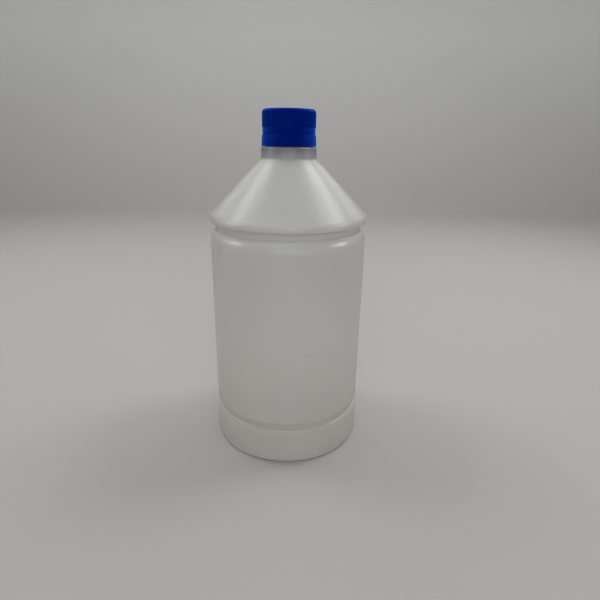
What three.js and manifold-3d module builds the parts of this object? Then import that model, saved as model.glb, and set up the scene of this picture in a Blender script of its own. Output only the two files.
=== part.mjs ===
// A one-litre blown bottle with its screw cap on: milky body, ribbed cap on a helical thread,
// the tear-off band under the cap and the foam disc that seals the mouth.
// Millimetres, +Z up. The origin is the centre of the ring that the bottle stands on.
import * as THREE from 'three';
import { mergeVertices } from 'three/addons/utils/BufferGeometryUtils.js';
import Module from 'manifold-3d';

const wasm = await Module();
wasm.setup();

// Body, from the floor up
const bodyRadius = 47.3;
const bodyWall = 0.95;
const standingWidth = 4.1; // flat ring under the foot
const footEdgeWidth = 2.2; // rounded edge between the standing ring and the foot
const footEdgeHeight = 2.6;
const pushUp = 2.8; // rise of the hollow bottom at its centre
const footHeight = 18.0;
const waistShoulder = 5.0; // height of the rounded shoulder that leads into the waist
const waistDepth = 1.5;
const waistFloor = 3.0;
const waistBrow = 1.9; // height of the curve from the waist's floor out to the panel
const panelRelief = 0.3; // the panel draws in by this towards its foot
const panelHeight = 102.9;

// Groove under the cone, and the rim that overhangs it
const neckingShoulder = 7.5;
const neckingDepth = 3.5;
const neckingFloor = 2.9;
const rimBrow = 2.0; // height of the curve from the groove's floor out to the rim
const rimSetback = 0.1; // the rim is this much narrower than the foot
const rimHeight = 3.1;
const rimRounding = 3.5;

// Cone and collar
const coneHeight = 31.8;
const collarRounding = 2.0;
const collarStand = 0.6; // the collar is this much wider than the band above it
const collarHeight = 6.6;
const collarEdge = 0.9;
const flareSlope = 0.5; // drop over reach of the flare inside the collar

// Pinched weld across the bottom
const weldLength = 62;
const weldWidth = 0.9;
const weldStand = 0.5;

// Neck, bead and thread
const neckBore = 10.9;
const neckWall = 1.55;
const lipEdge = 0.45;
const beadStand = 1.55;
const beadBrim = 0.7; // height of the bead's upright rim
const beadSlope = 2.0; // height of the slope that the band snaps over
const threadPitch = 3.18;
const threadTurns = 1.75;
const threadHeight = 1.25;
const threadRoot = 2.0; // width where the thread leaves the wall
const threadCrest = 0.9;
const threadDrop = 1.85; // from the mouth down to the end of the thread's centre line
const threadRunOut = 30; // degrees over which the thread rises out of the wall
const runningGap = 0.35; // between the neck's threads and beads and what turns round them

// Cap
const capWall = 1.2;
const capTop = 1.6;
const capThreadRoot = 1.7;
const capThreadCrest = 0.7;
const capThreadLead = 1.9; // from the skirt's lower edge up to the cap's thread
const capEdgeWidth = 2.5;
const capEdgeHeight = 2.4;
const gripRibs = 60;
const ribStand = 0.25;
const ribCrestShare = 0.4; // of the space between two ribs
const ribBaseShare = 0.64;
const ribRunOut = 0.8; // height over which a rib sinks into the rounded edge
const plainSkirt = 3.9; // smooth skirt under the ribs

// Tear-off band
const bandHeight = 5.7;
const bandWall = 0.95;
const bandFlare = 0.4;
const bandLip = 1.9; // height of the inner lip that stays under the bead
const bandLipReach = 1.15;
const bandChamfer = 0.9;
const seatGap = 0.3; // above and below the band
const slit = 0.4; // between the band and the cap
const bridges = 12;
const bridgeWidth = 0.7;
const bridgeDepth = 0.55;

// Foam disc
const linerThickness = 1.2;

// Facets round every turned surface, and in the rounded stretches of the outlines
const facets = 60;
const wideBend = 4;
const edgeBend = 3;
const smallBend = 2;
const domeShares = [0, 0.5, 0.8, 1]; // of the hollow bottom's radius
const overlap = 0.4; // how far a joined piece reaches into what carries it

// Radii that follow from the sizes above
const rimRadius = bodyRadius - rimSetback;
const neckRadius = neckBore + neckWall;
const threadRadius = neckRadius + threadHeight;
const beadRadius = neckRadius + beadStand;
const capBore = threadRadius + runningGap;
const skirtRadius = capBore + capWall;
const bandBore = beadRadius + runningGap;
const bandTopRadius = bandBore + bandWall;
const bandFootRadius = bandTopRadius + bandFlare;
const collarRadius = bandFootRadius + collarStand;
const standingRadius = bodyRadius - footEdgeWidth;

// Heights that follow from the sizes above
const waistStart = footHeight + waistShoulder;
const panelFoot = waistStart + waistFloor + waistBrow;
const panelTop = panelFoot + panelHeight;
const neckingStart = panelTop + neckingShoulder;
const rimFoot = neckingStart + neckingFloor + rimBrow;
const coneFoot = rimFoot + rimHeight;
const coneTop = coneFoot + coneHeight;
const collarTop = coneTop + collarHeight;
const bandFoot = collarTop + seatGap;
const beadFoot = bandFoot + bandLip + seatGap;
const bandTop = bandFoot + bandHeight;
const skirtFoot = bandTop + slit;
const capThreadStart = skirtFoot + capThreadLead;
const neckThreadStart = capThreadStart + threadPitch / 2;
const mouth = neckThreadStart + threadTurns * threadPitch + threadDrop;
const capCeiling = mouth + linerThickness;
const capHead = capCeiling + capTop;

// Points of a quarter ellipse between two [radius, height] points, without the first one.
// It leaves the first point upright or level, and arrives the other way.
function bend([r0, z0], [r1, z1], leaves, steps) {
  return Array.from({ length: steps }, (_, i) => {
    const angle = ((i + 1) / steps) * (Math.PI / 2);
    const early = Math.sin(angle);
    const late = 1 - Math.cos(angle);
    const [across, up] = leaves === 'upright' ? [late, early] : [early, late];
    return [r0 + (r1 - r0) * across, z0 + (z1 - z0) * up];
  });
}

// Points of an arc that rounds the corner between two straight stretches of an outline.
function rounded(before, corner, after, radius, steps) {
  const at = new THREE.Vector2(...corner);
  const back = new THREE.Vector2(...before).sub(at).normalize();
  const on = new THREE.Vector2(...after).sub(at).normalize();
  const half = Math.acos(back.dot(on)) / 2;
  const middle = back.clone().add(on).normalize();
  const centre = at.clone().addScaledVector(middle, radius / Math.sin(half));
  const start = at.clone().addScaledVector(back, radius / Math.tan(half)).sub(centre);
  const end = at.clone().addScaledVector(on, radius / Math.tan(half)).sub(centre);
  const turn = Math.atan2(start.cross(end), start.dot(end));
  return Array.from({ length: steps + 1 }, (_, i) =>
    start.clone().rotateAround(new THREE.Vector2(), (turn * i) / steps).add(centre).toArray(),
  );
}

// The hollow bottom, from its centre out to the standing ring, lowered by a drop.
function dome(drop) {
  const standingInner = standingRadius - standingWidth;
  return domeShares.map((share) => [standingInner * share, pushUp * (1 - share * share) - drop]);
}

// The body's outline from the centre of the bottom up to the collar's side.
function bodyOutline(wide, small) {
  const waistRadius = bodyRadius - waistDepth;
  const panelFootRadius = bodyRadius - panelRelief;
  const neckingRadius = bodyRadius - neckingDepth;
  const browWaist = waistStart + waistFloor;
  const browRim = neckingStart + neckingFloor;
  const middleOf = (a, b) => (a + b) / 2;
  const panel = (share) => [
    panelFootRadius + panelRelief * share * share,
    panelFoot + panelHeight * share,
  ];
  const waistTurn = [middleOf(waistRadius, panelFootRadius), middleOf(browWaist, panelFoot)];
  const rimTurn = [middleOf(neckingRadius, rimRadius), middleOf(browRim, rimFoot)];
  const coneFootCorner = [rimRadius, coneFoot];
  const coneTopCorner = [collarRadius, coneTop];
  return [
    ...dome(0),
    [standingRadius, 0],
    ...bend([standingRadius, 0], [bodyRadius, footEdgeHeight], 'level', small + 1),
    [bodyRadius, footHeight],
    ...bend([bodyRadius, footHeight], [waistRadius, waistStart], 'upright', wide),
    [waistRadius, browWaist],
    ...bend([waistRadius, browWaist], waistTurn, 'upright', small),
    ...bend(waistTurn, [panelFootRadius, panelFoot], 'level', small),
    panel(0.6), panel(1),
    ...bend([bodyRadius, panelTop], [neckingRadius, neckingStart], 'upright', wide + 1),
    [neckingRadius, browRim],
    ...bend([neckingRadius, browRim], rimTurn, 'upright', small),
    ...bend(rimTurn, [rimRadius, rimFoot], 'level', small),
    ...rounded([rimRadius, rimFoot], coneFootCorner, coneTopCorner, rimRounding, wide - 1),
    ...rounded(coneFootCorner, coneTopCorner, [collarRadius, collarTop], collarRounding, small),
  ];
}

// The same outline moved inwards by the wall, square to each stretch of it.
function inset(outline, wall) {
  const points = outline.map((point) => new THREE.Vector2(...point));
  const side = (a, b) => new THREE.Vector2(a.y - b.y, b.x - a.x).normalize();
  return points.map((point, i) => {
    const before = side(points[Math.max(i - 1, 0)], points[Math.max(i, 1)]);
    const after = side(points[Math.min(i, points.length - 2)], points[Math.min(i + 1, points.length - 1)]);
    const middle = before.clone().add(after).normalize();
    const [r, z] = point.clone().addScaledVector(middle, wall / middle.dot(before)).toArray();
    return i === 0 ? [0, z] : [r, z];
  });
}

// A geometry as a solid: shared vertices merged, and the folded triangles on the axis dropped.
function solid(geometry) {
  geometry.deleteAttribute('normal');
  geometry.deleteAttribute('uv');
  const merged = mergeVertices(geometry);
  const corners = merged.index.array;
  const triVerts = [];
  for (let i = 0; i < corners.length; i += 3) {
    const [a, b, c] = corners.slice(i, i + 3);
    if (a !== b && b !== c && c !== a) triVerts.push(a, b, c);
  }
  return new wasm.Manifold(new wasm.Mesh({
    numProp: 3,
    vertProperties: merged.attributes.position.array,
    triVerts: new Uint32Array(triVerts),
  }));
}

// An outline of [radius, height] points, up the outside first, turned round the axis.
function turned(outline) {
  const points = outline.map(([r, z]) => new THREE.Vector2(r, z));
  return solid(new THREE.LatheGeometry(points, facets).rotateX(Math.PI / 2));
}

// A box on the axis' frame, by its size and the place of its middle.
function block(size, middle) {
  return solid(new THREE.BoxGeometry(...size).translate(...middle));
}

// A right-hand thread on a wall. Its section lies between the wall and the crest, and is wound
// up the helix by a formula. At both ends the crest sinks back into the wall.
function thread(wall, crest, rootWidth, crestWidth, start) {
  const into = wall - Math.sign(crest - wall) * overlap;
  const steps = Math.round(threadTurns * facets);
  const section = new THREE.Shape([
    new THREE.Vector2(-rootWidth / 2, into),
    new THREE.Vector2(-rootWidth / 2, wall),
    new THREE.Vector2(-crestWidth / 2, crest),
    new THREE.Vector2(crestWidth / 2, crest),
    new THREE.Vector2(rootWidth / 2, wall),
    new THREE.Vector2(rootWidth / 2, into),
  ]);
  const bar = new THREE.ExtrudeGeometry(section, { depth: threadTurns, steps, bevelEnabled: false });
  const runOut = threadRunOut / 360;
  const sunk = overlap / 2 / Math.abs(crest - into); // share of the section left at both ends
  const place = bar.attributes.position;
  for (let i = 0; i < place.count; i++) {
    const turns = place.getZ(i);
    const rise = Math.min(1, turns / runOut, (threadTurns - turns) / runOut);
    const radius = into + (place.getY(i) - into) * (sunk + (1 - sunk) * rise);
    const angle = turns * 2 * Math.PI;
    const height = start + turns * threadPitch + place.getX(i);
    place.setXYZ(i, radius * Math.sin(angle), -radius * Math.cos(angle), height);
  }
  return solid(bar);
}

// Bottle: one blown piece, hollow from the mouth to the bottom
function makeBottle() {
  const collarSide = [collarRadius, collarTop - collarEdge];
  const outer = [
    ...bodyOutline(wideBend, smallBend),
    collarSide,
    ...bend(collarSide, [collarRadius - collarEdge, collarTop], 'upright', smallBend),
    [neckRadius, collarTop],
    [neckRadius, beadFoot],
    [beadRadius, beadFoot],
    [beadRadius, beadFoot + beadBrim],
    [neckRadius, beadFoot + beadBrim + beadSlope],
    [neckRadius, mouth - lipEdge],
    [neckRadius - lipEdge, mouth],
  ];
  const collarBore = collarRadius - bodyWall;
  const boreFoot = collarTop - neckWall;
  const flare = [
    [neckBore, mouth],
    [neckBore, boreFoot],
    [collarBore, boreFoot - (collarBore - neckBore) * flareSlope],
  ];
  const inner = inset(bodyOutline(smallBend, 1), bodyWall).reverse();
  const neckThread = thread(neckRadius, threadRadius, threadRoot, threadCrest, neckThreadStart);
  return turned([...outer, ...flare, ...inner]).add(neckThread).add(makeWeld());
}

// The seam where the blown tube was pinched shut: a low rib along the hollow bottom
function makeWeld() {
  const skin = turned([...dome(weldStand), ...dome(-bodyWall / 2).reverse()]);
  const tall = 4 * pushUp;
  return skin.intersect(block([weldLength, weldWidth, tall], [0, 0, 0]));
}

// The grip ribs as one toothed disc, whose teeth sink back at the top
function makeRibs() {
  const buried = skirtRadius - ribStand;
  const crest = skirtRadius + ribStand;
  const foot = skirtFoot + plainSkirt;
  const head = capHead - capEdgeHeight;
  const levels = [foot, head - ribRunOut / 2, head + ribRunOut / 2];
  const step = (2 * Math.PI) / gripRibs;
  const outline = [];
  for (let i = 0; i < gripRibs; i++) {
    const middle = (i + 0.5) * step;
    const corners = [
      [-ribBaseShare, buried], [-ribCrestShare, crest], [ribCrestShare, crest], [ribBaseShare, buried],
    ];
    for (const [share, radius] of corners) {
      const angle = middle + (share * step) / 2;
      outline.push(new THREE.Vector2(radius * Math.cos(angle), radius * Math.sin(angle)));
    }
  }
  const disc = new THREE.ExtrudeGeometry(new THREE.Shape(outline), {
    depth: levels.length - 1,
    steps: levels.length - 1,
    bevelEnabled: false,
  });
  const place = disc.attributes.position;
  for (let i = 0; i < place.count; i++) {
    const level = Math.round(place.getZ(i));
    const radius = Math.hypot(place.getX(i), place.getY(i));
    const keep = level === levels.length - 1 ? buried / radius : 1;
    place.setXYZ(i, place.getX(i) * keep, place.getY(i) * keep, levels[level]);
  }
  return solid(disc);
}

// Screw cap: rounded top edge, grip ribs, plain lower skirt and a thread inside
function makeCap() {
  const edgeStart = [skirtRadius, capHead - capEdgeHeight];
  const edgeEnd = [skirtRadius - capEdgeWidth, capHead];
  const shell = turned([
    [0, skirtFoot],
    [skirtRadius, skirtFoot],
    edgeStart,
    ...bend(edgeStart, edgeEnd, 'upright', edgeBend),
    [0, capHead],
  ]);
  const hollow = turned([
    [0, skirtFoot - overlap],
    [capBore, skirtFoot - overlap],
    [capBore, capCeiling],
    [0, capCeiling],
  ]);
  const crest = neckRadius + runningGap;
  const inside = thread(capBore, crest, capThreadRoot, capThreadCrest, capThreadStart);
  return shell.add(makeRibs()).subtract(hollow).add(inside);
}

// Tear-off band: a ring with a lip under the neck's bead, and the bridges up to the cap
function makeBand() {
  const lipRadius = bandBore - bandLipReach;
  let band = turned([
    [lipRadius + bandChamfer, bandFoot],
    [bandFootRadius, bandFoot],
    [bandTopRadius, bandTop],
    [bandBore, bandTop],
    [bandBore, bandFoot + bandLip],
    [lipRadius, bandFoot + bandLip],
    [lipRadius, bandFoot + bandChamfer],
    [lipRadius + bandChamfer, bandFoot],
  ]);
  const bridgeFoot = bandTop - overlap;
  const middle = [(bandBore + bandTopRadius) / 2, 0, (bridgeFoot + skirtFoot) / 2];
  const size = [bridgeDepth, bridgeWidth, skirtFoot - bridgeFoot];
  for (let i = 0; i < bridges; i++) {
    band = band.add(block(size, middle).rotate([0, 0, ((i + 0.5) * 360) / bridges]));
  }
  return band;
}

// Foam disc between the mouth and the cap's ceiling
function makeLiner() {
  const radius = capBore - runningGap;
  return turned([[0, mouth], [radius, mouth], [radius, capCeiling], [0, capCeiling]]);
}

const milkyPlastic = new THREE.MeshStandardMaterial({ color: 0xc9c9c2, roughness: 0.38, metalness: 0 });
const capPlastic = new THREE.MeshStandardMaterial({ color: 0x06246e, roughness: 0.35, metalness: 0 });
const bandPlastic = new THREE.MeshStandardMaterial({ color: 0x06246e, roughness: 0.35, metalness: 0 });
const foam = new THREE.MeshStandardMaterial({ color: 0xf2f2ee, roughness: 0.85, metalness: 0 });

function mesh(name, piece, material) {
  const { vertProperties, triVerts } = piece.getMesh();
  const geometry = new THREE.BufferGeometry();
  geometry.setAttribute('position', new THREE.BufferAttribute(new Float32Array(vertProperties), 3));
  geometry.setIndex(new THREE.BufferAttribute(new Uint32Array(triVerts), 1));
  geometry.computeVertexNormals();
  const part = new THREE.Mesh(geometry, material);
  part.name = name;
  return part;
}

const bottleWithCap = new THREE.Group();
bottleWithCap.add(mesh('bottle', makeBottle(), milkyPlastic));
bottleWithCap.add(mesh('tamper_band', makeBand(), bandPlastic));
bottleWithCap.add(mesh('cap_liner', makeLiner(), foam));
bottleWithCap.add(mesh('screw_cap', makeCap(), capPlastic));

export default bottleWithCap;
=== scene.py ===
import math

import bpy
import numpy as np
from mathutils import Matrix, Vector


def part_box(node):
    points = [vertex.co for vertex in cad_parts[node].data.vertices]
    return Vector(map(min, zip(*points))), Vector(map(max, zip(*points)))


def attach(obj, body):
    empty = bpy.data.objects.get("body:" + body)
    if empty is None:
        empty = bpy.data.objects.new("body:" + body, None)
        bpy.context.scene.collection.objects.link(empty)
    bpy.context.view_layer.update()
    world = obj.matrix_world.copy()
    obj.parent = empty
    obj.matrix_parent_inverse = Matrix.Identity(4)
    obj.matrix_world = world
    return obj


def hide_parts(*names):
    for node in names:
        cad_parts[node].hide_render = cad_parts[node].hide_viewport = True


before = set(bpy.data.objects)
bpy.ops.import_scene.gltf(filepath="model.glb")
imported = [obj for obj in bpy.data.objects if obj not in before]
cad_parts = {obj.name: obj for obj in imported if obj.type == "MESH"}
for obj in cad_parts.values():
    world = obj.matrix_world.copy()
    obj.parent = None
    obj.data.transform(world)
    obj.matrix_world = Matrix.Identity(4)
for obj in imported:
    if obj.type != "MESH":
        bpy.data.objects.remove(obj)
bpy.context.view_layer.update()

MM = 0.001

# Body, from the floor up, in millimetres
BODY_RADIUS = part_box("bottle")[1].x / MM
BODY_WALL = 0.95
STANDING_WIDTH = 4.1
FOOT_EDGE_WIDTH = 2.2
FOOT_EDGE_HEIGHT = 2.6
PUSH_UP = 2.8
FOOT_HEIGHT = 18.0
WAIST_SHOULDER = 5.0
WAIST_DEPTH = 1.5
WAIST_FLOOR = 3.0
WAIST_BROW = 1.9
PANEL_RELIEF = 0.3
PANEL_HEIGHT = 102.9
NECKING_SHOULDER = 7.5
NECKING_DEPTH = 3.5
NECKING_FLOOR = 2.9
RIM_BROW = 2.0
RIM_SETBACK = 0.1
RIM_HEIGHT = 3.1
RIM_ROUNDING = 3.5
CONE_HEIGHT = 31.8
COLLAR_ROUNDING = 2.0
COLLAR_STAND = 0.4
COLLAR_EDGE = 0.9
FLARE_SLOPE = 0.5
WELD_LENGTH = 62.0
WELD_WIDTH = 0.9
WELD_STAND = 0.5
WELD_SIDE = 0.25
WELD_ROOT = 0.3
WELD_TAPER = 3.0

# Neck, bead and thread
NECK_BORE = 10.9
NECK_WALL = 1.55
LIP_EDGE = 0.45
BEAD_STAND = 1.55
BEAD_BRIM = 0.7
BEAD_SLOPE = 2.0
BEAD_EDGE = 0.25
THREAD_PITCH = 3.18
THREAD_TURNS = 1.75
THREAD_HEIGHT = 1.25
THREAD_ROOT = 2.0
THREAD_CREST = 0.9
THREAD_RUN_OUT = 30 / 360
RUNNING_GAP = 0.35

# Cap and band
CAP_WALL = 1.2
CAP_THREAD_ROOT = 1.7
CAP_THREAD_CREST = 0.7
CAP_THREAD_LEAD = 1.9
CAP_EDGE_WIDTH = 1.6
CAP_EDGE_HEIGHT = 1.6
GRIP_RIBS = 60
RIB_STAND = 0.25
RIB_SINK = 0.35
RIB_CREST_SHARE = 0.4
RIB_BASE_SHARE = 0.64
RIB_RUN_OUT = 0.8
RIB_LEDGE = 0.18
PLAIN_SKIRT = 3.9
SMALL_EDGE = 0.2
BAND_WALL = 1.3
BAND_FLARE = 0.25
BAND_LIP = 1.9
BAND_LIP_REACH = 1.15
BAND_CHAMFER = 0.9
SEAT_GAP = 0.3
SLIT = 0.05
BRIDGES = 12
BRIDGE_WIDTH = 0.7
BRIDGE_DEPTH = 0.55
BRIDGE_FOOT_SHARE = 1.25
BRIDGE_HEAD_SHARE = 0.8

# How finely the surfaces are drawn
BODY_SIDES = 240
CAP_SIDES = 600
BAND_SIDES = 240
WIDE_BEND = 14
SMALL_BEND = 6
INNER_WIDE_BEND = 4
INNER_SMALL_BEND = 2
BEAD_BEND = 2
EDGE_BEND = 3
DOME_POINTS = 12
WELD_STATIONS = 40
THREAD_ROW = 0.16
GRIP_ROW = 1.2
LEDGE_ROWS = 3
RUN_OUT_ROWS = 6
HEAD_RINGS = (0.8, 0.5, 0.2, 0)
CEILING_RING = 0.6
SHARP_DEGREES = 34
SAME_RADIUS = 1e-6

# Radii and heights that follow
standing_inner = BODY_RADIUS - FOOT_EDGE_WIDTH - STANDING_WIDTH
rim_radius = BODY_RADIUS - RIM_SETBACK
neck_radius = NECK_BORE + NECK_WALL
thread_radius = neck_radius + THREAD_HEIGHT
bead_radius = neck_radius + BEAD_STAND
cap_bore = thread_radius + RUNNING_GAP
skirt_radius = cap_bore + CAP_WALL
band_bore = bead_radius + RUNNING_GAP
band_top_radius = band_bore + BAND_WALL
band_foot_radius = band_top_radius + BAND_FLARE
collar_radius = band_foot_radius + COLLAR_STAND

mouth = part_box("bottle")[1].z / MM
cap_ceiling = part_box("cap_liner")[1].z / MM
cap_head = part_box("screw_cap")[1].z / MM
skirt_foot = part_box("screw_cap")[0].z / MM
band_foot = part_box("tamper_band")[0].z / MM
rib_foot = skirt_foot + PLAIN_SKIRT
band_top = skirt_foot - SLIT
collar_top = band_foot - SEAT_GAP
bead_foot = band_foot + BAND_LIP + SEAT_GAP
bead_top = bead_foot + BEAD_BRIM + BEAD_SLOPE
cap_thread_start = skirt_foot + CAP_THREAD_LEAD
neck_thread_start = cap_thread_start + THREAD_PITCH / 2
waist_start = FOOT_HEIGHT + WAIST_SHOULDER
panel_foot = waist_start + WAIST_FLOOR + WAIST_BROW
panel_top = panel_foot + PANEL_HEIGHT
necking_start = panel_top + NECKING_SHOULDER
rim_foot = necking_start + NECKING_FLOOR + RIM_BROW
cone_foot = rim_foot + RIM_HEIGHT
cone_top = cone_foot + CONE_HEIGHT


# Outlines: lists of [radius, height]
def bend(start, end, leaves, steps):
    """A quarter ellipse between two points, without the first; it leaves upright or level."""
    points = []
    for i in range(1, steps + 1):
        angle = i / steps * math.pi / 2
        early, late = math.sin(angle), 1 - math.cos(angle)
        across, up = (late, early) if leaves == "upright" else (early, late)
        points.append([
            start[0] + (end[0] - start[0]) * across,
            start[1] + (end[1] - start[1]) * up,
        ])
    return points


def rounded(before, corner, after, radius, steps):
    """An arc that rounds the corner between two straight stretches."""
    before, at, after = (np.array(p, float) for p in (before, corner, after))
    back = (before - at) / np.linalg.norm(before - at)
    on = (after - at) / np.linalg.norm(after - at)
    half = math.acos(float(back @ on)) / 2
    middle = (back + on) / np.linalg.norm(back + on)
    centre = at + middle * radius / math.sin(half)
    start = at + back * radius / math.tan(half) - centre
    end = at + on * radius / math.tan(half) - centre
    turn = math.atan2(start[0] * end[1] - start[1] * end[0], float(start @ end))
    points = []
    for i in range(steps + 1):
        c, s = math.cos(turn * i / steps), math.sin(turn * i / steps)
        points.append([
            centre[0] + c * start[0] - s * start[1],
            centre[1] + s * start[0] + c * start[1],
        ])
    return points


def softened(corners, steps):
    """An outline whose corners, given as [radius, height, rounding], are rounded."""
    points = []
    for i, (r, z, rounding) in enumerate(corners):
        if rounding and 0 < i < len(corners) - 1:
            points += rounded(corners[i - 1][:2], [r, z], corners[i + 1][:2], rounding, steps)
        else:
            points.append([r, z])
    return points


def rows(start, end, step):
    """Points along a straight stretch, without its ends."""
    count = max(1, round(abs(end[1] - start[1]) / step))
    return [[start[k] + (end[k] - start[k]) * i / count for k in (0, 1)] for i in range(1, count)]


def dome():
    """The hollow bottom, from the axis out to the standing ring."""
    return [[standing_inner * t, PUSH_UP * (1 - t * t)] for t in np.linspace(0, 1, DOME_POINTS)]


def body_outline(wide, small):
    """The outside from the bottom up to the collar; wide and small are the steps of its bends."""
    standing = [BODY_RADIUS - FOOT_EDGE_WIDTH, 0]
    waist_radius = BODY_RADIUS - WAIST_DEPTH
    panel_foot_radius = BODY_RADIUS - PANEL_RELIEF
    necking_radius = BODY_RADIUS - NECKING_DEPTH
    waist_brow = [waist_radius, waist_start + WAIST_FLOOR]
    panel_start = [panel_foot_radius, panel_foot]
    waist_turn = [(waist_brow[k] + panel_start[k]) / 2 for k in (0, 1)]
    rim_brow = [necking_radius, necking_start + NECKING_FLOOR]
    rim_start = [rim_radius, rim_foot]
    rim_turn = [(rim_brow[k] + rim_start[k]) / 2 for k in (0, 1)]
    cone_foot_corner = [rim_radius, cone_foot]
    cone_top_corner = [collar_radius, cone_top]
    collar_head = [collar_radius, collar_top]
    panel = [
        [panel_foot_radius + PANEL_RELIEF * t * t, panel_foot + PANEL_HEIGHT * t]
        for t in np.linspace(0, 1, 4 * small)[1:]
    ]
    return [
        *dome(),
        standing,
        *bend(standing, [BODY_RADIUS, FOOT_EDGE_HEIGHT], "level", small),
        [BODY_RADIUS, FOOT_HEIGHT],
        *bend([BODY_RADIUS, FOOT_HEIGHT], [waist_radius, waist_start], "upright", wide),
        waist_brow,
        *bend(waist_brow, waist_turn, "upright", small),
        *bend(waist_turn, panel_start, "level", small),
        *panel,
        *bend([BODY_RADIUS, panel_top], [necking_radius, necking_start], "upright", wide),
        rim_brow,
        *bend(rim_brow, rim_turn, "upright", small),
        *bend(rim_turn, rim_start, "level", small),
        *rounded(rim_start, cone_foot_corner, cone_top_corner, RIM_ROUNDING, wide),
        *rounded(cone_foot_corner, cone_top_corner, collar_head, COLLAR_ROUNDING, small),
    ]


def inset(outline, wall):
    """The outline moved inwards by the wall, square to each stretch of it."""
    points = np.array(outline, float)
    along = np.diff(points, axis=0)
    side = np.stack([-along[:, 1], along[:, 0]], 1)
    side /= np.linalg.norm(side, axis=1, keepdims=True)
    before = np.vstack([side[:1], side])
    after = np.vstack([side, side[-1:]])
    middle = before + after
    middle /= np.linalg.norm(middle, axis=1, keepdims=True)
    moved = points + middle * (wall / (middle * before).sum(1, keepdims=True))
    moved[0, 0] = 0
    return moved.tolist()


def bottle_outline():
    """The whole section: up the outside to the mouth, and down the inside to the axis."""
    collar_bore = collar_radius - BODY_WALL
    bore_foot = collar_top - NECK_WALL
    collar_side = [collar_radius, collar_top - COLLAR_EDGE]
    neck_foot = [neck_radius, bead_top]
    neck_head = [neck_radius, mouth - LIP_EDGE]
    finish = softened([
        [collar_radius - COLLAR_EDGE, collar_top, 0],
        [neck_radius, collar_top, BEAD_EDGE],
        [neck_radius, bead_foot, BEAD_EDGE],
        [bead_radius, bead_foot, BEAD_EDGE],
        [bead_radius, bead_foot + BEAD_BRIM, BEAD_EDGE],
        [*neck_foot, 0],
    ], BEAD_BEND)
    collar_edge = [collar_radius - COLLAR_EDGE, collar_top]
    return [
        *body_outline(WIDE_BEND, SMALL_BEND),
        collar_side,
        *bend(collar_side, collar_edge, "upright", SMALL_BEND)[:-1],
        *finish,
        *rows(neck_foot, neck_head, THREAD_ROW),
        neck_head,
        *bend(neck_head, [neck_radius - LIP_EDGE, mouth], "upright", SMALL_BEND),
        [NECK_BORE, mouth],
        [NECK_BORE, bore_foot],
        [collar_bore, bore_foot - (collar_bore - NECK_BORE) * FLARE_SLOPE],
        *reversed(inset(body_outline(INNER_WIDE_BEND, INNER_SMALL_BEND), BODY_WALL)),
    ]


# Forms that vary round the axis
def thread_rise(angle, height, start, root, crest):
    """How far a right-hand thread stands out of its wall, from 0 to 1."""
    rise = np.zeros(np.broadcast(angle, height).shape)
    for turn in range(math.ceil(THREAD_TURNS)):
        turns = angle / (2 * math.pi) + turn
        ends = np.minimum(turns, THREAD_TURNS - turns) / THREAD_RUN_OUT
        off = np.abs(height - start - turns * THREAD_PITCH)
        flank = np.clip((root / 2 - off) / ((root - crest) / 2), 0, 1)
        rise = np.maximum(rise, flank * np.clip(ends, 0, 1))
    return rise


def neck_shape(angle, radius, height):
    """The neck's radius with its thread."""
    on_neck = (abs(radius - neck_radius) < SAME_RADIUS) & (height > bead_top)
    rise = thread_rise(angle, height, neck_thread_start, THREAD_ROOT, THREAD_CREST)
    return radius + np.where(on_neck, THREAD_HEIGHT * rise, 0)


def cap_shape(angle, radius, height):
    """The cap's radius with the thread inside and the grip ribs outside."""
    inside = (abs(radius - cap_bore) < SAME_RADIUS) & (height < cap_ceiling - RUNNING_GAP)
    reach = cap_bore - neck_radius - RUNNING_GAP
    rise = thread_rise(angle, height, cap_thread_start, CAP_THREAD_ROOT, CAP_THREAD_CREST)
    share = np.abs(angle / (2 * math.pi) * GRIP_RIBS % 1 - 0.5) * 2
    flank = np.clip((RIB_BASE_SHARE - share) / (RIB_BASE_SHARE - RIB_CREST_SHARE), 0, 1)
    rib = flank * flank * (3 - 2 * flank)
    rib_head = cap_head - CAP_EDGE_HEIGHT + RIB_RUN_OUT / 2
    below = np.clip((height - rib_foot) / RIB_LEDGE, 0, 1)
    above = np.clip((rib_head - height) / RIB_RUN_OUT, 0, 1)
    outside = radius > cap_bore + CAP_WALL / 2
    relief = RIB_STAND * rib - RIB_SINK * (1 - rib)
    grip = np.where(outside, relief * below * above, 0)
    return radius + grip - np.where(inside, reach * rise, 0)


# Meshes
def new_object(name, verts, faces):
    """A smooth object whose sharper edges stay crisp."""
    mesh = bpy.data.meshes.new(name)
    mesh.from_pydata(verts, [], faces)
    mesh.validate()
    mesh.shade_smooth()
    mesh.set_sharp_from_angle(angle=math.radians(SHARP_DEGREES))
    piece = bpy.data.objects.new(name, mesh)
    bpy.context.scene.collection.objects.link(piece)
    return piece


def turned(name, outline, sides, shape=None, ring=False):
    """An outline turned round the axis.

    A shape changes each point's radius by its angle, and a ring's outline closes on itself.
    """
    angles = np.arange(sides) * 2 * math.pi / sides
    verts, faces, loops = [], [], []
    for radius, height in outline:
        if radius < SAME_RADIUS:
            loops.append([len(verts)] * sides)
            verts.append((0, 0, height * MM))
            continue
        radii = shape(angles, radius, height) if shape else np.full(sides, radius)
        loops.append(range(len(verts), len(verts) + sides))
        across = radii * np.sin(angles) * MM
        back = -radii * np.cos(angles) * MM
        verts += zip(across, back, [height * MM] * sides)
    following = loops[1:] + loops[:1] if ring else loops[1:]
    for low, high in zip(loops, following):
        for i in range(sides):
            j = (i + 1) % sides
            corners = list(dict.fromkeys([low[i], low[j], high[j], high[i]]))
            if len(corners) > 2:
                faces.append(corners)
    return new_object(name, verts, faces)


def make_bottle():
    return turned("bottle_body", bottle_outline(), BODY_SIDES, neck_shape)


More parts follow.
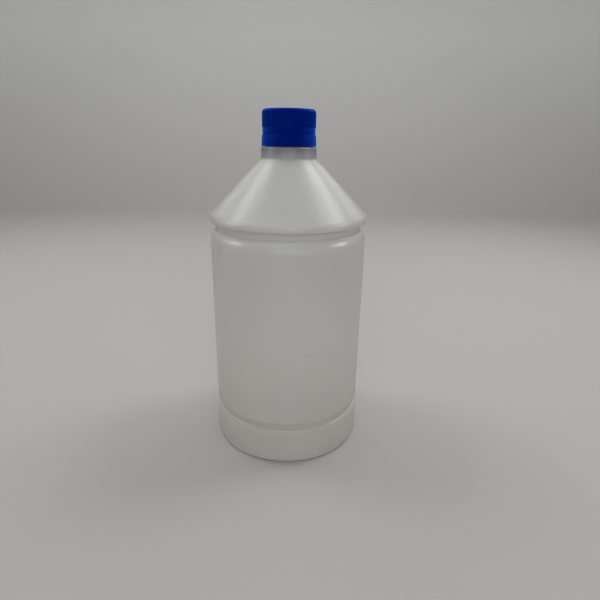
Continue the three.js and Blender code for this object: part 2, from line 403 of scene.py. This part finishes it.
def make_weld():
    """The low rib where the tube was pinched shut, along the hollow bottom."""
    half = WELD_WIDTH / 2
    section = [
        [-half, WELD_ROOT],
        [-half, -WELD_SIDE],
        [-half / 2, -WELD_STAND],
        [half / 2, -WELD_STAND],
        [half, -WELD_SIDE],
        [half, WELD_ROOT],
    ]
    stations = np.linspace(-WELD_LENGTH / 2, WELD_LENGTH / 2, WELD_STATIONS)
    verts = []
    for x in stations:
        rise = PUSH_UP * (1 - (x / standing_inner) ** 2)
        taper = min(1, (WELD_LENGTH / 2 - abs(x)) / WELD_TAPER)
        for y, z in section:
            drop = z if z > 0 else z * taper
            verts.append((x * MM, y * MM, (rise + drop) * MM))
    count = len(section)
    faces = [list(range(count)), list(range(len(verts) - 1, len(verts) - count - 1, -1))]
    for s in range(len(stations) - 1):
        for k in range(count):
            a, b = s * count + k, s * count + (k + 1) % count
            faces.append([b, a, a + count, b + count])
    return new_object("bottom_weld", verts, faces)


def make_cap():
    """The cap's shell, from the middle of its ceiling round the skirt to the middle of its head."""
    edge_start = [skirt_radius, cap_head - CAP_EDGE_HEIGHT]
    edge_end = [skirt_radius - CAP_EDGE_WIDTH, cap_head]
    ledge_foot = [skirt_radius, rib_foot]
    ledge_head = [skirt_radius, rib_foot + RIB_LEDGE]
    fade_start = [skirt_radius, edge_start[1] - RIB_RUN_OUT / 2]
    skirt_inner = [cap_bore + SMALL_EDGE, skirt_foot]
    skirt_outer = [skirt_radius - SMALL_EDGE, skirt_foot]
    skirt_edge = [skirt_radius, skirt_foot + SMALL_EDGE]
    bore_low = [cap_bore, skirt_foot + SMALL_EDGE]
    bore_high = [cap_bore, cap_ceiling]
    outline = [
        [0, cap_ceiling],
        [cap_bore * CEILING_RING, cap_ceiling],
        bore_high,
        *reversed(rows(bore_low, bore_high, THREAD_ROW)),
        bore_low,
        *bend(bore_low, skirt_inner, "upright", EDGE_BEND),
        *bend(skirt_outer, skirt_edge, "level", EDGE_BEND),
        ledge_foot,
        *rows(ledge_foot, ledge_head, RIB_LEDGE / LEDGE_ROWS),
        ledge_head,
        *rows(ledge_head, fade_start, GRIP_ROW),
        fade_start,
        *rows(fade_start, edge_start, RIB_RUN_OUT / RUN_OUT_ROWS),
        edge_start,
        *bend(edge_start, edge_end, "upright", WIDE_BEND),
        *[[edge_end[0] * share, cap_head] for share in HEAD_RINGS],
    ]
    return turned("screw_cap_shell", outline, CAP_SIDES, cap_shape)


def make_band():
    """The tear-off band; its section's last corner repeats the first one."""
    lip_radius = band_bore - BAND_LIP_REACH
    corners = [
        [lip_radius + BAND_CHAMFER, band_foot, 0],
        [band_foot_radius, band_foot, SMALL_EDGE],
        [band_top_radius, band_top, SMALL_EDGE],
        [band_bore, band_top, SMALL_EDGE / 2],
        [band_bore, band_foot + BAND_LIP, SMALL_EDGE / 2],
        [lip_radius, band_foot + BAND_LIP, SMALL_EDGE],
        [lip_radius, band_foot + BAND_CHAMFER, SMALL_EDGE],
        [lip_radius + BAND_CHAMFER, band_foot, 0],
    ]
    return turned("tamper_ring", softened(corners, EDGE_BEND)[:-1], BAND_SIDES, ring=True)


def make_bridges():
    """The small bridges that join the band to the cap's skirt."""
    middle = (band_bore + band_top_radius) / 2
    low, high = band_top - SMALL_EDGE, skirt_foot
    verts, faces = [], []
    for i in range(BRIDGES):
        turn = Matrix.Rotation((i + 0.5) * 2 * math.pi / BRIDGES, 3, "Z")
        first = len(verts)
        for z, share in ((low, BRIDGE_FOOT_SHARE), (high, BRIDGE_HEAD_SHARE)):
            for sx, sy in ((-1, -1), (1, -1), (1, 1), (-1, 1)):
                x = middle + sx * BRIDGE_DEPTH / 2
                y = sy * BRIDGE_WIDTH / 2 * share
                verts.append(turn @ Vector((x, y, z)) * MM)
        a = [first + k for k in range(8)]
        faces += [[a[3], a[2], a[1], a[0]], [a[4], a[5], a[6], a[7]]]
        faces += [[a[k], a[(k + 1) % 4], a[(k + 1) % 4 + 4], a[k + 4]] for k in range(4)]
    return new_object("band_bridges", verts, faces)


def make_liner():
    radius = cap_bore - RUNNING_GAP
    low, high = mouth, cap_ceiling
    corners = [[0, low, 0], [radius, low, SMALL_EDGE], [radius, high, SMALL_EDGE], [0, high, 0]]
    return turned("foam_disc", softened(corners, EDGE_BEND), BAND_SIDES)


# Materials
WHITE = (1.0, 1.0, 1.0, 1)
FOOT_TINT = (0.99, 0.95, 0.915, 1)
# Painted shade: the waist groove is darkened, and a little warmed, in colour where shade falls in
# it.
WAIST_PAINTED_SHADE = (0.925, 0.895, 0.86, 1)
LOW_TINT = (1.0, 0.985, 0.95, 1)
# Painted shade: the shoulder, necking and cone are greyed a little to dim where the lamps light
# them more.
SHOULDER_PAINTED_SHADE = (0.935, 0.935, 0.937, 1)
# Painted shadow: the collar under the cap is darkened and tinted by the cap's blue, fading down
# onto the cone.
COLLAR_PAINTED_SHADOW = (0.32, 0.31, 0.42, 1)
MILK_CLOUD = ((0.88, 0.876, 0.832, 1), (0.91, 0.906, 0.866, 1))
MILK_ROUGHNESS = (0.285, 0.33)
BLUE_TINT = ((0.0003, 0.0045, 0.133, 1), (0.0004, 0.0065, 0.162, 1))
BLUE_ROUGHNESS = (0.33, 0.42)
BLUE_GLOSS = (0.02, 0.15, 1.0, 1)
BLUE_SHEEN = (0.0, 0.15, 1.0, 1)
FOAM_TINT = ((0.80, 0.80, 0.78, 1), (0.88, 0.88, 0.86, 1))
NOISE_LOW = 0.3
NOISE_HIGH = 0.7


class Nodes:
    """Short calls for building one material's nodes."""

    def __init__(self, name):
        self.material = bpy.data.materials.new(name)
        self.material.use_nodes = True
        self.tree = self.material.node_tree
        self.shader = self.tree.nodes["Principled BSDF"]

    def node(self, kind, **inputs):
        made = self.tree.nodes.new(kind)
        for key, value in inputs.items():
            made.inputs[key.replace("_", " ")].default_value = value
        return made

    def link(self, out, into):
        self.tree.links.new(out, into)

    def noise(self, scale, detail=2.0, stretch=(1, 1, 1)):
        """Noise in the object's own metres, squeezed or stretched along an axis."""
        place = self.tree.nodes.new("ShaderNodeTexCoord")
        mapping = self.node("ShaderNodeMapping", Scale=stretch)
        made = self.node("ShaderNodeTexNoise", Scale=scale, Detail=detail)
        self.link(place.outputs["Object"], mapping.inputs["Vector"])
        self.link(mapping.outputs["Vector"], made.inputs["Vector"])
        return made.outputs["Fac"]

    def ranged(self, noise, low=0.0, high=1.0):
        """Spreads a noise, which mostly lies between NOISE_LOW and NOISE_HIGH, over a range."""
        made = self.node(
            "ShaderNodeMapRange",
            From_Min=NOISE_LOW,
            From_Max=NOISE_HIGH,
            To_Min=low,
            To_Max=high,
        )
        self.link(noise, made.inputs["Value"])
        return made.outputs["Result"]

    def between(self, share, first, second):
        """A colour between two others, by a share from 0 to 1."""
        made = self.tree.nodes.new("ShaderNodeMix")
        made.data_type = "RGBA"
        made.inputs["A"].default_value = first
        made.inputs["B"].default_value = second
        self.link(share, made.inputs["Factor"])
        return made.outputs["Result"]

    def height_share(self, top):
        """The height over the floor as a share of the top, which is in metres."""
        place = self.tree.nodes.new("ShaderNodeTexCoord")
        split = self.tree.nodes.new("ShaderNodeSeparateXYZ")
        share = self.node("ShaderNodeMapRange", From_Max=top)
        self.link(place.outputs["Object"], split.inputs["Vector"])
        self.link(split.outputs["Z"], share.inputs["Value"])
        return share.outputs["Result"]

    def height_ramp(self, *stops):
        """A tint that follows the height; each stop is (height in millimetres, colour)."""
        ramp = self.tree.nodes.new("ShaderNodeValToRGB")
        elements = ramp.color_ramp.elements
        while len(elements) < len(stops):
            elements.new(1.0)
        for element, (height, colour) in zip(elements, stops):
            element.position = height / mouth
            element.color = colour
        self.link(self.height_share(mouth * MM), ramp.inputs["Fac"])
        return ramp.outputs["Color"]

    def multiplied(self, first, second):
        """Two colours multiplied."""
        made = self.tree.nodes.new("ShaderNodeMix")
        made.data_type = "RGBA"
        made.blend_type = "MULTIPLY"
        made.inputs["Factor"].default_value = 1.0
        self.link(first, made.inputs["A"])
        self.link(second, made.inputs["B"])
        return made.outputs["Result"]

    def bump(self, height, strength, distance):
        """A fine relief; the distance is in metres."""
        made = self.node("ShaderNodeBump", Strength=strength, Distance=distance)
        self.link(height, made.inputs["Height"])
        self.link(made.outputs["Normal"], self.shader.inputs["Normal"])

    def set(self, **values):
        """Fixed values of the shader itself."""
        for key, value in values.items():
            self.shader.inputs[key.replace("_", " ")].default_value = value


def milky_plastic():
    """Natural blown polyethylene: milky, soft in gloss, a little uneven."""
    n = Nodes("milky_plastic")
    n.set(IOR=1.5, Transmission_Weight=0.5)
    n.set(Subsurface_Weight=1.0, Subsurface_Scale=0.004, Subsurface_Radius=(1.0, 0.97, 0.88))
    cloud = n.between(n.ranged(n.noise(14, 3, (1, 1, 0.5))), *MILK_CLOUD)
    # Colour by height: warmer towards the foot. Painted shade falls in the waist groove and on the
    # shoulder and cone, with the necking groove left untinted. Painted shadow falls on the collar
    # under the cap.
    tint_and_painted_shade = n.height_ramp(
        (0.0, FOOT_TINT),
        (FOOT_HEIGHT, FOOT_TINT),
        (waist_start, WAIST_PAINTED_SHADE),
        (waist_start + WAIST_FLOOR, WAIST_PAINTED_SHADE),
        (panel_foot + 1, LOW_TINT),
        (panel_top - 45, WHITE),
        (panel_top - 10, SHOULDER_PAINTED_SHADE),
        (necking_start - 3, SHOULDER_PAINTED_SHADE),
        (necking_start, WHITE),
        (rim_foot, WHITE),
        (cone_foot + 2, SHOULDER_PAINTED_SHADE),
        (cone_top - 4, SHOULDER_PAINTED_SHADE),
        (collar_top, COLLAR_PAINTED_SHADOW),
        (collar_top + 0.2, WHITE),
    )
    n.link(n.multiplied(cloud, tint_and_painted_shade), n.shader.inputs["Base Color"])
    n.link(n.ranged(n.noise(60), *MILK_ROUGHNESS), n.shader.inputs["Roughness"])
    return n.material


def cap_plastic():
    """Deep blue moulded plastic with a fine mould texture."""
    n = Nodes("cap_plastic")
    n.set(IOR=1.49, Specular_IOR_Level=0.03, Specular_Tint=BLUE_GLOSS)
    n.set(Sheen_Weight=0.7, Sheen_Roughness=0.6, Sheen_Tint=BLUE_SHEEN)
    tint = n.between(n.ranged(n.noise(120, 3)), *BLUE_TINT)
    n.link(tint, n.shader.inputs["Base Color"])
    n.link(n.ranged(n.noise(350), *BLUE_ROUGHNESS), n.shader.inputs["Roughness"])
    n.bump(n.noise(1600, 2), 0.1, 0.00008)
    return n.material


def liner_foam():
    """White closed-cell foam."""
    n = Nodes("liner_foam")
    tint = n.between(n.ranged(n.noise(700)), *FOAM_TINT)
    n.link(tint, n.shader.inputs["Base Color"])
    n.set(Roughness=0.85)
    n.bump(n.noise(2500, 3), 0.3, 0.0001)
    return n.material


def dress(piece, body, slot, material, *nodes):
    """Gives a piece its material, its body and the solids that it replaces; the slot is not used.
    """
    piece.data.materials.append(material)
    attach(piece, body)
    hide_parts(*nodes)


def dress_all():
    milky = milky_plastic()
    blue = cap_plastic()
    dress(make_bottle(), "bottle", "natural_plastic", milky, "bottle")
    dress(make_weld(), "bottle", "natural_plastic", milky, "bottle")
    dress(make_band(), "bottle", "cap_plastic", blue, "tamper_band")
    dress(make_bridges(), "bottle", "cap_plastic", blue, "tamper_band")
    dress(make_liner(), "liner", "liner_foam", liner_foam(), "cap_liner")
    dress(make_cap(), "cap", "cap_plastic", blue, "screw_cap")


# Stage
FLOOR_TONE = (0.480, 0.468, 0.453, 1)
BACKDROP_TONE = (0.79, 0.795, 0.79, 1)
SWEEP_WIDTH = 6.0
SWEEP_FRONT = -3.0
SWEEP_BACK = 0.9
SWEEP_BEND = 0.5
SWEEP_STEPS = 24
SWEEP_TOP = 2.4


def stage_paper():
    """Matt paper, paler up the backdrop, where less light falls on it."""
    n = Nodes("stage_paper")
    tone = n.between(n.height_share(SWEEP_BEND), FLOOR_TONE, BACKDROP_TONE)
    n.link(tone, n.shader.inputs["Base Color"])
    n.set(Roughness=0.9, Specular_IOR_Level=0.2)
    return n.material


def pale_stage():
    """A floor that bends up into the backdrop, in one sheet."""
    line = [(SWEEP_FRONT, 0.0), (SWEEP_BACK, 0.0)]
    for i in range(1, SWEEP_STEPS + 1):
        angle = i / SWEEP_STEPS * math.pi / 2
        back, up = math.sin(angle), 1 - math.cos(angle)
        line.append((SWEEP_BACK + SWEEP_BEND * back, SWEEP_BEND * up))
    line.append((SWEEP_BACK + SWEEP_BEND, SWEEP_TOP))
    verts = [(side * SWEEP_WIDTH / 2, y, z) for y, z in line for side in (-1, 1)]
    faces = [[2 * i, 2 * i + 1, 2 * i + 3, 2 * i + 2] for i in range(len(line) - 1)]
    sheet = new_object("stage_sweep", verts, faces)
    sheet.data.materials.append(stage_paper())


# Lights
LIGHTS_AIM = Vector((0, 0, 0.12))
WORLD_STRENGTH = 0.38
REAR_SHARE = 0.33


def world_light():
    """Even grey light from all round."""
    world = bpy.data.worlds.new("studio")
    bpy.context.scene.world = world
    world.use_nodes = True
    tree = world.node_tree
    tree.nodes.clear()
    lit = tree.nodes.new("ShaderNodeBackground")
    lit.inputs["Strength"].default_value = WORLD_STRENGTH
    out = tree.nodes.new("ShaderNodeOutputWorld")
    tree.links.new(lit.outputs["Background"], out.inputs["Surface"])


def area_light(name, place, size, radiance, lights="everything"):
    """A soft rectangular lamp aimed at the bottle, with an even radiance.

    The size is (across, up). The lamp lights everything, or only gloss, or only matt surfaces.
    """
    lamp = bpy.data.lights.new(name, "AREA")
    lamp.shape = "RECTANGLE"
    lamp.size, lamp.size_y = size
    lamp.energy = radiance * math.pi * size[0] * size[1]
    holder = bpy.data.objects.new(name, lamp)
    bpy.context.scene.collection.objects.link(holder)
    holder.location = place
    holder.rotation_euler = (Vector(place) - LIGHTS_AIM).to_track_quat("Z", "Y").to_euler()
    holder.visible_camera = False
    holder.visible_diffuse = lights != "gloss"
    holder.visible_transmission = lights != "gloss"
    holder.visible_glossy = lights != "matt"


def studio_lights():
    world_light()
    area_light("back_soft", (0.0, 0.9, 1.20), (1.8, 0.6), 0.9)
    area_light("front_soft", (0.0, -1.7, 0.8), (1.8, 1.2), 1.9, "matt")
    for side, radiance in ((-1, 5.0), (1, 6.2)):
        rear_radiance = radiance * REAR_SHARE
        area_light(f"side_panel_{side}", (side * 0.48, 0.19, 0.83), (0.26, 0.40), radiance)
        area_light(f"rear_panel_{side}", (side * 0.52, 0.61, 0.57), (0.26, 0.30), rear_radiance)
        area_light(f"eye_strip_{side}", (side * 0.90, -0.14, 0.42), (0.16, 0.16), 25.0, "gloss")
    area_light("front_strip", (0.0, -0.36, 0.80), (0.9, 0.04), 5.0, "gloss")
    area_light("low_strip", (0.0, -1.6, 0.07), (1.8, 0.05), 7.0, "gloss")


# Camera, fitted to the photograph's 600 by 600 frame
PICTURE = 600
FOCAL_PIXELS = 457.0
SENSOR = 36.0
NEAR_CLIP = 0.01
CAMERA_BACK = 0.2798
CAMERA_HEIGHT = 0.1900
CAMERA_PITCH = math.radians(19.62)
CAMERA_YAW = math.radians(1.62)
CAMERA_ROLL = math.radians(0.94)


def photo_camera():
    lens = bpy.data.cameras.new("photo_camera")
    lens.sensor_width = SENSOR
    lens.lens = FOCAL_PIXELS / PICTURE * SENSOR
    lens.clip_start = NEAR_CLIP
    camera = bpy.data.objects.new("photo_camera", lens)
    bpy.context.scene.collection.objects.link(camera)
    bpy.context.scene.camera = camera
    upright = Matrix.Rotation(math.pi / 2 - CAMERA_PITCH, 4, "X")
    turned_by = Matrix.Rotation(-CAMERA_YAW, 4, "Z")
    rolled = Matrix.Rotation(CAMERA_ROLL, 4, "Z")
    place = Matrix.Translation((0, -CAMERA_BACK, CAMERA_HEIGHT))
    camera.matrix_world = place @ turned_by @ upright @ rolled


photo_camera()
dress_all()
pale_stage()
studio_lights()
bpy.context.scene.view_settings.view_transform = "Standard"
